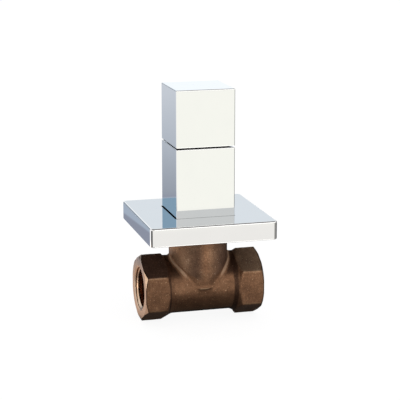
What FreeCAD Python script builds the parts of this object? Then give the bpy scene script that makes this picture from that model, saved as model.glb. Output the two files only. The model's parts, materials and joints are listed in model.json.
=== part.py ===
import FreeCAD, Part
import Sketcher
import math
import os

# Isolating valve for flush mounting: a cast brass body with two G1/2 ends and a quarter-turn
# ceramic disc headwork, a square sleeve and wall flange, and a square handle.
# Millimetres, +Z up. The origin lies on the stem axis at the wall face, under the flange rim.
# Water comes in at -X and leaves at +X. The handle is drawn in the closed position.
# Threads are plain cylinders on their major diameter.

SIZES = {
    # Shared gaps
    "thread_play": 0.08,
    "turning_play": 0.05,
    "fixed_play": 0.1,
    # Body casting
    "pipe_thread_dia": 20.955,
    "pipe_thread_depth": 13.5,
    "mouth_dia": 21.5,
    "mouth_depth": 0.5,
    "pipe_drop": 27.2,
    "body_length": 57.6,
    "hex_across": 28.3,
    "end_face_dia": 28.9,
    "end_bevel_angle": 30,
    "barrel_dia": 26,
    "barrel_half": 14.5,
    "shoulder_start": 17.1,
    "shoulder_angle": 62,
    "ridge_rise": 15.5,
    "ridge_foot_rise": 10.4,
    "ridge_foot_half": 7.6,
    "ridge_length": 36,
    "neck_dia": 27.8,
    "neck_nose_rise": 1,
    "neck_nose_dia": 26.4,
    "neck_nose_length": 8,
    "rim_drop": 2,
    "gasket_seat_dia": 24.4,
    "neck_thread_depth": 10,
    "chamber_dia": 20,
    "seat_depth": 22,
    "seat_hole_dia": 11,
    "seat_web": 3,
    "passage_dia": 18.6,
    "inlet_passage_reach": 10.5,
    # Headwork housing
    "housing_collar_dia": 25,
    "housing_collar_thick": 2.5,
    "housing_hex_across": 19,
    "housing_hex_height": 5,
    "housing_neck_dia": 17.2,
    "housing_neck_height": 8,
    "housing_thread_length": 9,
    "cage_dia": 17.6,
    "cage_bore_dia": 15.4,
    "cage_length": 20,
    "window_spread": 80,
    "window_height": 4,
    "spindle_bore_dia": 9,
    "stop_spread": 30,
    "stop_drop": 2,
    "stop_play_angle": 1,
    "turn_angle": 90,
    # Headwork inner pieces
    "gasket_thick": 1.3,
    "gasket_dia": 24,
    "seal_height": 4.5,
    "seal_wall": 1.5,
    "disc_thick": 3.5,
    "disc_dia": 15,
    "disc_lug_width": 3,
    "disc_lug_reach": 8.4,
    "port_dia": 11.6,
    "port_hub_dia": 4.8,
    "port_spread": 70,
    "flow_spread": 80,
    "drive_slot_width": 3,
    "drive_slot_depth": 1.6,
    "washer_thick": 0.7,
    "washer_dia": 12.2,
    # Spindle
    "collar_thick": 3,
    "collar_dia": 15,
    "stop_ring_dia": 12.4,
    "tongue_length": 13,
    "shaft_dia": 8.8,
    "o_ring_section": 1.5,
    "o_ring_groove_width": 1.8,
    "o_ring_first": 9,
    "o_ring_pitch": 4.5,
    "clip_thick": 1,
    "clip_dia": 12,
    "clip_groove_dia": 6.4,
    "clip_opening": 70,
    "spline_dia": 8,
    "spline_root_dia": 7.2,
    "spline_teeth": 20,
    "spindle_spline_length": 9,
    "screw_dia": 4,
    "screw_hole_depth": 9,
    # Sleeve and what fixes it
    "square_side": 28,
    "square_edge_round": 0.4,
    "square_edge_bevel": 0.25,
    "sleeve_wall": 1.8,
    "sleeve_rise": 32.4,
    "sleeve_foot_level": 2.6,
    "sleeve_recess": 4,
    "sleeve_web": 3,
    "tube_dia": 22,
    "tube_bore_dia": 14,
    "tube_neck_dia": 18,
    "tube_neck_length": 6.4,
    "ring_nut_height": 3,
    "ring_nut_dia": 23.4,
    "spanner_slot_width": 2.2,
    "spanner_slot_depth": 1.2,
    # Flange
    "flange_side": 60,
    "flange_height": 8.7,
    "flange_corner_round": 1.8,
    "flange_edge_round": 0.8,
    "flange_plate": 2.5,
    "flange_skirt": 2.2,
    "flange_rib_width": 5,
    "flange_hole_play": 0.2,
    "flange_collar_wall": 2.6,
    "grip_level": 3.2,
    "grip_height": 2,
    "grip_width": 1.5,
    "foam_thick": 2.3,
    "foam_drop": 0.3,
    "foam_width": 4.4,
    # Spindle extension
    "socket_dia": 12,
    "socket_top_wall": 2,
    "rod_dia": 10,
    "guide_height": 3,
    "guide_level": 36,
    "screw_length": 40,
    "screw_head_dia": 7,
    "screw_head_height": 2.4,
    "screw_socket_across": 3,
    "screw_socket_depth": 1.4,
    # Handle
    "handle_gap": 0.6,
    "handle_height": 26.7,
    "handle_wall": 2.6,
    "handle_top_wall": 4,
    "hub_dia": 17,
    "hub_rise": 2.5,
    "rib_width": 1.6,
    "rib_height": 8,
    "insert_rise": 2.8,
    "insert_height": 11.5,
    "insert_across": 12,
    "insert_bore_height": 15.8,
    "grub_dia": 5,
    "grub_length": 7,
    "grub_level": 8.5,
    "grub_boss_dia": 9,
    "grub_socket_across": 2.5,
    "grub_socket_depth": 2.5,
}

# Heights above the wall face, worked out from the sizes
LEVELS = {
    "pipe": "-Sizes.pipe_drop",
    "rim": "-Sizes.rim_drop",
    "gasket": "rim - Sizes.gasket_thick",
    "seat": "rim - Sizes.seat_depth",
    "fixed_disc": "seat + Sizes.seal_height",
    "moving_disc": "fixed_disc + Sizes.disc_thick + Sizes.turning_play",
    "collar": "moving_disc + Sizes.disc_thick + Sizes.turning_play",
    "washer": "collar + Sizes.collar_thick + Sizes.turning_play",
    "ceiling": "washer + Sizes.washer_thick",
    "tube": "rim + Sizes.housing_collar_thick + Sizes.housing_hex_height",
    "housing_top": "tube + Sizes.housing_neck_height",
    "clip": "housing_top + Sizes.turning_play",
    "extension": "clip + Sizes.clip_thick + Sizes.turning_play",
    "spindle_top": "extension + Sizes.spindle_spline_length",
    "sleeve_top": "Sizes.flange_height + Sizes.sleeve_rise",
    "ring_nut": "sleeve_top - Sizes.sleeve_recess",
    "web": "ring_nut - Sizes.sleeve_web",
    "handle": "sleeve_top + Sizes.handle_gap",
    "insert": "handle + Sizes.insert_rise",
    "insert_top": "insert + Sizes.insert_height",
    "first_ring": "collar + Sizes.o_ring_first",
    "second_ring": "first_ring + Sizes.o_ring_pitch",
}

doc = FreeCAD.newDocument("isolating_valve")
sheet = doc.addObject("Spreadsheet::Sheet", "Sizes")
for row, (alias, number) in enumerate(SIZES.items(), start=1):
    sheet.set(f"A{row}", alias)
    sheet.set(f"B{row}", str(number))
    sheet.setAlias(f"B{row}", alias)
levels = doc.addObject("Spreadsheet::Sheet", "Levels")
for row, (alias, formula) in enumerate(LEVELS.items(), start=1):
    levels.set(f"A{row}", alias)
    levels.set(f"B{row}", "=" + formula)
    levels.setAlias(f"B{row}", alias)
doc.recompute()

FULL_TURN = 360
OVERCUT = 1
pieces = []


# Sketch helpers


def origin_plane(body, role):
    return next(face for face in body.Origin.OriginFeatures if face.Role == role)


def new_body(label, level=None):
    # Each piece is drawn from its own seat and lifted to its level
    body = doc.addObject("PartDesign::Body", label)
    body.Label = label
    if level:
        body.setExpression("Placement.Base.z", f"Levels.{level}")
    pieces.append(body)
    return body


def new_sketch(body, name, role="XY_Plane", lift="0"):
    sketch = body.newObject("Sketcher::SketchObject", name)
    sketch.AttachmentSupport = [(origin_plane(body, role), "")]
    sketch.MapMode = "FlatFace"
    sketch.setExpression("AttachmentOffset.Base.z", lift)
    return sketch


def bind(sketch, kind, *arguments):
    # A dimension that follows its formula, the last argument
    *place, formula = arguments
    value = float(sketch.evalExpression(formula))
    index = sketch.addConstraint(Sketcher.Constraint(kind, *place, value))
    sketch.setExpression(f"Constraints[{index}]", formula)


def draw_polygon(sketch, corners):
    spots = [[float(sketch.evalExpression(formula)) for formula in corner] for corner in corners]
    first = sketch.GeometryCount
    count = len(corners)
    for index, spot in enumerate(spots):
        following = spots[(index + 1) % count]
        sketch.addGeometry(Part.LineSegment(FreeCAD.Vector(*spot, 0), FreeCAD.Vector(*following, 0)))
    for index in range(count):
        following = first + (index + 1) % count
        sketch.addConstraint(Sketcher.Constraint("Coincident", first + index, 2, following, 1))
    for index, (across, up) in enumerate(corners):
        bind(sketch, "DistanceX", -1, 1, first + index, 1, across)
        bind(sketch, "DistanceY", -1, 1, first + index, 1, up)


def draw_rectangle(sketch, width, depth):
    corners = [(-1, -1), (1, -1), (1, 1), (-1, 1)]
    draw_polygon(sketch, [(f"{x} * ({width}) / 2", f"{y} * ({depth}) / 2") for x, y in corners])


def draw_hexagon(sketch, across, first_corner=30, height="0"):
    # With its first corner at 30 degrees, two corners point up and down
    corner = f"({across}) / 2 / cos(30)"
    angles = [first_corner + 60 * number for number in range(6)]
    corners = [(f"{corner} * cos({a})", f"{height} + {corner} * sin({a})") for a in angles]
    draw_polygon(sketch, corners)


def draw_spline(sketch, play="0"):
    # Tooth tips and roots by turns, the same for a shaft and, with play, for its socket
    teeth = int(sheet.spline_teeth)
    step = FULL_TURN / teeth
    corners = []
    for tooth in range(teeth):
        for turn, size in ((0, "Sizes.spline_dia"), (step / 2, "Sizes.spline_root_dia")):
            angle = tooth * step + turn
            radius = f"({size} / 2 + {play})"
            corners.append((f"{radius} * cos({angle})", f"{radius} * sin({angle})"))
    draw_polygon(sketch, corners)


def draw_circle(sketch, diameter, x="0", y="0"):
    spot = [float(sketch.evalExpression(formula)) for formula in (x, y)]
    radius = float(sketch.evalExpression(f"({diameter}) / 2"))
    centre = FreeCAD.Vector(*spot, 0)
    circle = sketch.addGeometry(Part.Circle(centre, FreeCAD.Vector(0, 0, 1), radius))
    bind(sketch, "Radius", circle, f"({diameter}) / 2")
    bind(sketch, "DistanceX", -1, 1, circle, 3, x)
    bind(sketch, "DistanceY", -1, 1, circle, 3, y)


def draw_sector(sketch, inner, outer, start, end):
    # Part of a ring between two diameters and two angles
    angles = [float(sketch.evalExpression(formula)) for formula in (start, end)]
    radii = [float(sketch.evalExpression(f"({size}) / 2")) for size in (inner, outer)]
    turns = [math.radians(angle) for angle in angles]
    axis = FreeCAD.Vector(0, 0, 1)
    centre = FreeCAD.Vector(0, 0, 0)
    arcs = [
        sketch.addGeometry(Part.ArcOfCircle(Part.Circle(centre, axis, radius), *turns))
        for radius in radii
    ]
    ends = [
        [FreeCAD.Vector(radius * math.cos(turn), radius * math.sin(turn), 0) for radius in radii]
        for turn in turns
    ]
    sides = [sketch.addGeometry(Part.LineSegment(*pair)) for pair in ends]
    for arc, size in zip(arcs, (inner, outer)):
        sketch.addConstraint(Sketcher.Constraint("Coincident", arc, 3, -1, 1))
        bind(sketch, "Radius", arc, f"({size}) / 2")
    for side, arc_end, angle in zip(sides, (1, 2), (start, end)):
        sketch.addConstraint(Sketcher.Constraint("Coincident", side, 1, arcs[0], arc_end))
        sketch.addConstraint(Sketcher.Constraint("Coincident", side, 2, arcs[1], arc_end))
        bind(sketch, "DistanceX", -1, 1, side, 2, f"({outer}) / 2 * cos({angle})")
        bind(sketch, "DistanceY", -1, 1, side, 1, f"({inner}) / 2 * sin({angle})")


def draw_half_round(sketch, diameter, chord, upper):
    # The part of a round passage above or below a level chord
    radius = float(sketch.evalExpression(f"({diameter}) / 2"))
    height = float(sketch.evalExpression(chord))
    tilt = math.asin(height / radius)
    start, end = (tilt, math.pi - tilt) if upper else (math.pi - tilt, 2 * math.pi + tilt)
    circle = Part.Circle(FreeCAD.Vector(0, 0, 0), FreeCAD.Vector(0, 0, 1), radius)
    arc = sketch.addGeometry(Part.ArcOfCircle(circle, start, end))
    tips = [FreeCAD.Vector(radius * math.cos(turn), height, 0) for turn in (end, start)]
    line = sketch.addGeometry(Part.LineSegment(*tips))
    sketch.addConstraint(Sketcher.Constraint("Coincident", arc, 3, -1, 1))
    sketch.addConstraint(Sketcher.Constraint("Coincident", line, 1, arc, 2))
    sketch.addConstraint(Sketcher.Constraint("Coincident", line, 2, arc, 1))
    sketch.addConstraint(Sketcher.Constraint("Horizontal", line))
    bind(sketch, "Radius", arc, f"({diameter}) / 2")
    bind(sketch, "DistanceY", -1, 1, line, 1, chord)


# Feature helpers


def check_change(body, feature, before):
    # A cut takes material away and an addition brings some
    doc.recompute()
    if "Invalid" in feature.State or "Error" in feature.State:
        raise RuntimeError(f"{body.Label}: {feature.Name} failed")
    change = feature.Shape.Volume - before
    cuts = feature.TypeId in ("PartDesign::Pocket", "PartDesign::Groove", "PartDesign::Chamfer")
    if (change > 0) == cuts or change == 0:
        raise RuntimeError(f"{body.Label}: {feature.Name} changed nothing")
    return feature


def volume_of(body):
    return body.Tip.Shape.Volume if body.Tip and body.Tip.isDerivedFrom("PartDesign::Feature") else 0


def turn(body, name, corners, axis="V_Axis", cut=False, role="XZ_Plane"):
    # A turned form: the outline spins about the sketch's upright or level axis
    before = volume_of(body)
    sketch = new_sketch(body, f"{name}_outline", role)
    draw_polygon(sketch, corners)
    feature = body.newObject("PartDesign::Groove" if cut else "PartDesign::Revolution", name)
    feature.Profile = sketch
    feature.ReferenceAxis = (sketch, [axis])
    feature.Angle = FULL_TURN
    return check_change(body, feature, before)


def extrude(body, name, sketch, length, cut=False, along=True):
    # along goes the way of the sketch's normal
    before = volume_of(body)
    feature = body.newObject("PartDesign::Pocket" if cut else "PartDesign::Pad", name)
    feature.Profile = sketch
    feature.setExpression("Length", length)
    feature.Reversed = along if cut else not along
    return check_change(body, feature, before)


def ease_edges(body, name, size, wanted, kind="PartDesign::Fillet"):
    # Rounds or bevels the edges that the test picks
    doc.recompute()
    base = body.Tip
    edges = [f"Edge{n}" for n, edge in enumerate(base.Shape.Edges, start=1) if wanted(edge)]
    feature = body.newObject(kind, name)
    feature.Base = (base, edges)
    feature.setExpression("Radius" if kind == "PartDesign::Fillet" else "Size", size)
    doc.recompute()
    return feature


def runs_up(edge, half_side, tolerance=0.01):
    # An upright edge at the corner of a square piece
    box = edge.BoundBox
    upright = box.XLength + box.YLength < tolerance
    return upright and abs(abs(box.Center.x) - half_side) < tolerance


def lies_at(edge, level, half_side, tolerance=0.01):
    # An edge of a square piece's outside at one height
    box = edge.BoundBox
    reach = max(abs(box.XMin), abs(box.XMax), abs(box.YMin), abs(box.YMax))
    flat = box.ZLength < tolerance and abs(box.ZMin - level) < tolerance
    return flat and abs(reach - half_side) < tolerance


# Fixed pieces


def body_casting():
    body = new_body("body_casting", "pipe")
    half = "Sizes.body_length / 2"
    corner = "Sizes.hex_across / 2 / cos(30)"
    beyond = f"({corner} + {OVERCUT})"
    bars = new_sketch(body, "hexagon", "YZ_Plane", f"-({half})")
    draw_hexagon(bars, "Sizes.hex_across")
    extrude(body, "hexagon_bar", bars, "Sizes.body_length")
    # The middle is turned down to the barrel, and a cone runs up to the hexagons' corners
    rise = f"({beyond} - Sizes.hex_across / 2) / tan(Sizes.shoulder_angle)"
    side = [
        ("Sizes.barrel_half", "Sizes.barrel_dia / 2"),
        ("Sizes.shoulder_start", "Sizes.hex_across / 2"),
        (f"Sizes.shoulder_start + {rise}", beyond),
    ]
    mirrored = [(f"-({along})", up) for along, up in reversed(side)]
    turn(body, "barrel", side + mirrored, "H_Axis", cut=True)
    # The barrel's top runs up to a ridge, which meets the hexagons below their upper corners
    ridge = new_sketch(body, "ridge_section", "YZ_Plane", "-Sizes.ridge_length / 2")
    draw_polygon(ridge, [
        ("-Sizes.ridge_foot_half", "Sizes.ridge_foot_rise"),
        ("Sizes.ridge_foot_half", "Sizes.ridge_foot_rise"),
        ("0", "Sizes.ridge_rise"),
    ])
    extrude(body, "ridge", ridge, "Sizes.ridge_length")
    mouth = "Sizes.mouth_dia / 2"
    thread = "Sizes.pipe_thread_dia / 2"
    for end, sign in (("inlet", "-1"), ("outlet", "1")):
        run = f"({beyond} - Sizes.end_face_dia / 2) * tan(Sizes.end_bevel_angle)"
        turn(body, f"{end}_bevel", [
            (f"{sign} * ({half})", "Sizes.end_face_dia / 2"),
            (f"{sign} * ({half} + {OVERCUT})", "Sizes.end_face_dia / 2"),
            (f"{sign} * ({half} + {OVERCUT})", beyond),
            (f"{sign} * ({half} - {run})", beyond),
        ], "H_Axis", cut=True)
    # The neck stands a little proud of the barrel and ends in a rounded nose on its front
    turn(body, "neck", [
        ("0", "0"),
        ("Sizes.neck_nose_dia / 2 - Sizes.neck_nose_rise", "0"),
        ("Sizes.neck_nose_dia / 2", "Sizes.neck_nose_rise"),
        ("Sizes.neck_dia / 2", "Sizes.neck_nose_rise + Sizes.neck_nose_length"),
        ("Sizes.neck_dia / 2", "Levels.rim - Levels.pipe"),
        ("0", "Levels.rim - Levels.pipe"),
    ])
    for end, sign in (("inlet", "-1"), ("outlet", "1")):
        turn(body, f"{end}_thread", [
            (f"{sign} * ({half} + {OVERCUT})", "0"),
            (f"{sign} * ({half} + {OVERCUT})", mouth),
            (f"{sign} * ({half})", mouth),
            (f"{sign} * ({half} - Sizes.mouth_depth)", thread),
            (f"{sign} * ({half} - Sizes.pipe_thread_depth)", thread),
            (f"{sign} * ({half} - Sizes.pipe_thread_depth)", "0"),
        ], "H_Axis", cut=True)
    # Headwork bore from the rim down to the seat
    rim = "Levels.rim - Levels.pipe"
    turn(body, "headwork_bore", [
        ("0", f"{rim} + {OVERCUT}"),
        ("Sizes.gasket_seat_dia / 2", f"{rim} + {OVERCUT}"),
        ("Sizes.gasket_seat_dia / 2", "Levels.gasket - Levels.pipe"),
        (thread, "Levels.gasket - Levels.pipe"),
        (thread, f"{rim} - Sizes.neck_thread_depth"),
        ("Sizes.chamber_dia / 2", f"{rim} - Sizes.neck_thread_depth"),
        ("Sizes.chamber_dia / 2", "Levels.seat - Levels.pipe"),
        ("0", "Levels.seat - Levels.pipe"),
    ], cut=True)
    # The inlet runs in under the seat, and the chamber above it opens to the outlet
    bore_end = f"({half} - Sizes.pipe_thread_depth)"
    seat = "Levels.seat - Levels.pipe"
    under = new_sketch(body, "under_seat", "YZ_Plane", f"-{bore_end} - {OVERCUT}")
    draw_half_round(under, "Sizes.passage_dia", f"{seat} - Sizes.seat_web", upper=False)
    reach = f"{bore_end} + Sizes.inlet_passage_reach + {OVERCUT}"
    extrude(body, "inlet_passage", under, reach, cut=True)
    over = new_sketch(body, "over_seat", "YZ_Plane", f"{bore_end} + {OVERCUT}")
    draw_half_round(over, "Sizes.passage_dia", seat, upper=True)
    length = f"{bore_end} + {OVERCUT} - Sizes.seat_hole_dia / 2"
    extrude(body, "outlet_passage", over, length, cut=True, along=False)
    hole = new_sketch(body, "seat_circle", lift=seat)
    draw_circle(hole, "Sizes.seat_hole_dia")
    extrude(body, "seat_hole", hole, f"Sizes.seat_web + {OVERCUT}", cut=True, along=False)


def headwork_housing():
    # Drawn from the underside of its collar
    body = new_body("headwork_housing", "rim")
    thread = "Sizes.pipe_thread_dia / 2 - Sizes.thread_play"
    hex_foot = "Sizes.housing_collar_thick"
    top = "Levels.housing_top - Levels.rim"
    turn(body, "outside", [
        ("0", "-Sizes.cage_length"),
        ("Sizes.cage_dia / 2", "-Sizes.cage_length"),
        ("Sizes.cage_dia / 2", "-Sizes.housing_thread_length"),
        (thread, "-Sizes.housing_thread_length"),
        (thread, "0"),
        ("Sizes.housing_collar_dia / 2", "0"),
        ("Sizes.housing_collar_dia / 2", hex_foot),
        ("Sizes.housing_neck_dia / 2", hex_foot),
        ("Sizes.housing_neck_dia / 2", top),
        ("0", top),
    ])
    flats = new_sketch(body, "hexagon", lift=hex_foot)
    draw_hexagon(flats, "Sizes.housing_hex_across")
    extrude(body, "hexagon_collar", flats, "Sizes.housing_hex_height")
    turn(body, "bore", [
        ("0", f"-Sizes.cage_length - {OVERCUT}"),
        ("Sizes.cage_bore_dia / 2", f"-Sizes.cage_length - {OVERCUT}"),
        ("Sizes.cage_bore_dia / 2", "Levels.ceiling - Levels.rim"),
        ("Sizes.spindle_bore_dia / 2", "Levels.ceiling - Levels.rim"),
        ("Sizes.spindle_bore_dia / 2", f"{top} + {OVERCUT}"),
        ("0", f"{top} + {OVERCUT}"),
    ], cut=True)
    # Side windows let the water out beside the moving disc
    beyond = f"Sizes.cage_dia + {OVERCUT}"
    for side, middle in (("outlet", "0"), ("inlet", "180")):
        window = new_sketch(body, f"{side}_sector", lift="Levels.moving_disc - Levels.rim")
        draw_sector(window, f"Sizes.cage_bore_dia - {OVERCUT}", beyond,
                    f"{middle} - Sizes.window_spread / 2", f"{middle} + Sizes.window_spread / 2")
        extrude(body, f"{side}_window", window, "Sizes.window_height", cut=True)
    # Two slots in the cage's foot hold the fixed disc's lugs
    slots = new_sketch(body, "lug_slot", lift="-Sizes.cage_length")
    draw_rectangle(slots, "Sizes.disc_lug_width + 2 * Sizes.fixed_play", beyond)
    depth = "Levels.fixed_disc + Sizes.disc_thick - Levels.rim + Sizes.cage_length"
    extrude(body, "lug_slots", slots, depth, cut=True)
    # The stop under the ceiling that the spindle's collar turns against
    stop = new_sketch(body, "stop_sector", lift="Levels.ceiling - Levels.rim")
    draw_sector(stop, "Sizes.stop_ring_dia + 2 * Sizes.turning_play",
                f"Sizes.cage_bore_dia + {OVERCUT}", "-Sizes.stop_spread / 2", "Sizes.stop_spread / 2")
    extrude(body, "turn_stop", stop, "Sizes.stop_drop", along=False)


def ring(label, level, inner, outer, height):
    # A plain turned ring that stands on its level
    body = new_body(label, level)
    turn(body, "section", [(inner, "0"), (outer, "0"), (outer, height), (inner, height)])
    return body


def headwork_gasket():
    ring("headwork_gasket", "gasket", "Sizes.pipe_thread_dia / 2", "Sizes.gasket_dia / 2",
         "Sizes.gasket_thick")


def seat_seal():
    # Rubber, in the foot of the cage, between the casting's seat and the fixed disc
    ring("seat_seal", "seat", "Sizes.disc_dia / 2 - Sizes.seal_wall", "Sizes.disc_dia / 2",
         "Sizes.seal_height")


def fixed_disc():
    # Ceramic, with a port on the inlet side and one on the outlet side of the seat
    body = new_body("fixed_disc", "fixed_disc")
    face = new_sketch(body, "face")
    draw_circle(face, "Sizes.disc_dia")
    extrude(body, "plate", face, "Sizes.disc_thick")
    lugs = new_sketch(body, "lug_face")
    draw_rectangle(lugs, "Sizes.disc_lug_width", "2 * Sizes.disc_lug_reach")
    extrude(body, "lugs", lugs, "Sizes.disc_thick")
    for side, middle in (("outlet", "0"), ("inlet", "180")):
        port = new_sketch(body, f"{side}_sector")
        draw_sector(port, "Sizes.port_hub_dia", "Sizes.port_dia",
                    f"{middle} - Sizes.port_spread / 2", f"{middle} + Sizes.port_spread / 2")
        extrude(body, f"{side}_port", port, "Sizes.disc_thick", cut=True)


def thrust_washer():
    ring("thrust_washer", "washer", "Sizes.spindle_bore_dia / 2", "Sizes.washer_dia / 2",
         "Sizes.washer_thick")


def fixing_tube():
    # Screwed on the housing's neck, it carries the sleeve on its shoulder
    body = new_body("fixing_tube", "tube")
    shoulder = "Levels.web - Levels.tube"
    neck = f"{shoulder} + Sizes.tube_neck_length"
    thread = "Sizes.housing_neck_dia / 2 + Sizes.thread_play"
    step = "Sizes.housing_neck_height + Sizes.turning_play"
    turn(body, "outside", [
        (thread, "0"),
        ("Sizes.tube_dia / 2", "0"),
        ("Sizes.tube_dia / 2", shoulder),
        ("Sizes.tube_neck_dia / 2", shoulder),
        ("Sizes.tube_neck_dia / 2", neck),
        ("Sizes.tube_bore_dia / 2", neck),
        ("Sizes.tube_bore_dia / 2", step),
        (thread, step),
    ])


def sleeve():
    body = new_body("sleeve")
    body.setExpression("Placement.Base.z", "Sizes.sleeve_foot_level")
    side = "Sizes.square_side"
    height = "Levels.sleeve_top - Sizes.sleeve_foot_level"
    outline = new_sketch(body, "square")
    draw_rectangle(outline, side, side)
    extrude(body, "block", outline, height)
    half = sheet.square_side / 2
    ease_edges(body, "corner_rounds", "Sizes.square_edge_round", lambda edge: runs_up(edge, half))
    top = levels.sleeve_top - sheet.sleeve_foot_level
    ease_edges(body, "top_bevel", "Sizes.square_edge_bevel",
               lambda edge: lies_at(edge, top, half), "PartDesign::Chamfer")
    inside = f"{side} - 2 * Sizes.sleeve_wall"
    lower = new_sketch(body, "lower_square")
    draw_rectangle(lower, inside, inside)
    extrude(body, "lower_hollow", lower, "Levels.web - Sizes.sleeve_foot_level", cut=True)
    upper = new_sketch(body, "upper_square", lift=height)
    draw_rectangle(upper, inside, inside)
    extrude(body, "upper_hollow", upper, "Sizes.sleeve_recess", cut=True, along=False)
    hole = new_sketch(body, "web_circle", lift="Levels.web - Sizes.sleeve_foot_level")
    draw_circle(hole, "Sizes.tube_neck_dia + 2 * Sizes.fixed_play")
    extrude(body, "web_hole", hole, "Sizes.sleeve_web", cut=True)


def ring_nut():
    # Clamps the sleeve's web on the tube, with two slots for a spanner
    body = ring("ring_nut", "ring_nut", "Sizes.tube_neck_dia / 2 + Sizes.thread_play",
                "Sizes.ring_nut_dia / 2", "Sizes.ring_nut_height")
    slot = new_sketch(body, "slot", lift="Sizes.ring_nut_height")
    draw_rectangle(slot, f"Sizes.ring_nut_dia + {OVERCUT}", "Sizes.spanner_slot_width")
    extrude(body, "spanner_slots", slot, "Sizes.spanner_slot_depth", cut=True, along=False)


def flange():
    # A square cover, hollow at the back, with a collar round the sleeve
    body = new_body("flange")
    side = "Sizes.flange_side"
    hole = "Sizes.square_side + 2 * Sizes.flange_hole_play"
    outline = new_sketch(body, "square")
    draw_rectangle(outline, side, side)
    extrude(body, "block", outline, "Sizes.flange_height")
    half = sheet.flange_side / 2
    ease_edges(body, "corner_rounds", "Sizes.flange_corner_round", lambda edge: runs_up(edge, half))
    top = sheet.flange_height
    ease_edges(body, "top_round", "Sizes.flange_edge_round", lambda edge: lies_at(edge, top, half))
    rebate = new_sketch(body, "rebate_square")
    rebate_side = f"{side} - 2 * Sizes.flange_skirt"
    draw_rectangle(rebate, rebate_side, rebate_side)
    extrude(body, "foam_rebate", rebate, "Sizes.foam_drop + Sizes.foam_thick", cut=True)
    hollow = new_sketch(body, "hollow_squares")
    hollow_side = f"{rebate_side} - 2 * Sizes.flange_rib_width"
    collar_side = f"{hole} + 2 * Sizes.flange_collar_wall"
    draw_rectangle(hollow, hollow_side, hollow_side)
    draw_rectangle(hollow, collar_side, collar_side)
    extrude(body, "hollow", hollow, "Sizes.flange_height - Sizes.flange_plate", cut=True)
    window = new_sketch(body, "hole_square")
    draw_rectangle(window, hole, hole)
    extrude(body, "sleeve_hole", window, "Sizes.flange_height", cut=True)
    groove = new_sketch(body, "groove_square", lift="Sizes.grip_level")
    groove_side = "Sizes.square_side + 2 * Sizes.grip_width + 2 * Sizes.fixed_play"
    draw_rectangle(groove, groove_side, groove_side)
    extrude(body, "grip_groove", groove, "Sizes.grip_height + Sizes.fixed_play", cut=True)


def square_ring(label, level, inner, outer, height):
    body = new_body(label)
    body.setExpression("Placement.Base.z", level)
    outline = new_sketch(body, "squares")
    draw_rectangle(outline, inner, inner)
    draw_rectangle(outline, outer, outer)
    extrude(body, "section", outline, height)


def flange_grip_ring():
    # Rubber, it sits in the collar's groove and holds the flange on the sleeve
    square_ring("flange_grip_ring", "Sizes.grip_level", "Sizes.square_side",
                "Sizes.square_side + 2 * Sizes.grip_width", "Sizes.grip_height")


def wall_gasket():
    # Foam, in the rebate behind the flange
    outer = "Sizes.flange_side - 2 * Sizes.flange_skirt - 2 * Sizes.fixed_play"
    square_ring("wall_gasket", "Sizes.foam_drop", f"{outer} - 2 * Sizes.foam_width", outer,
                "Sizes.foam_thick")


# Turning pieces


def moving_disc():
    # Closed at rest: its solid parts cover the ports, and its open parts stand across the flow
    body = new_body("moving_disc", "moving_disc")
    face = new_sketch(body, "face")
    draw_circle(face, "Sizes.disc_dia")
    extrude(body, "plate", face, "Sizes.disc_thick")
    for side, middle in (("front", "-90"), ("back", "90")):
        gap = new_sketch(body, f"{side}_sector")
        draw_sector(gap, "Sizes.port_hub_dia", f"Sizes.disc_dia + {OVERCUT}",
                    f"{middle} - Sizes.flow_spread / 2", f"{middle} + Sizes.flow_spread / 2")
        extrude(body, f"{side}_opening", gap, "Sizes.disc_thick", cut=True)
    slot = new_sketch(body, "slot", lift="Sizes.disc_thick")
    draw_rectangle(slot, f"Sizes.disc_dia + {OVERCUT}", "Sizes.drive_slot_width")
    extrude(body, "drive_slot", slot, "Sizes.drive_slot_depth", cut=True, along=False)


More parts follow.
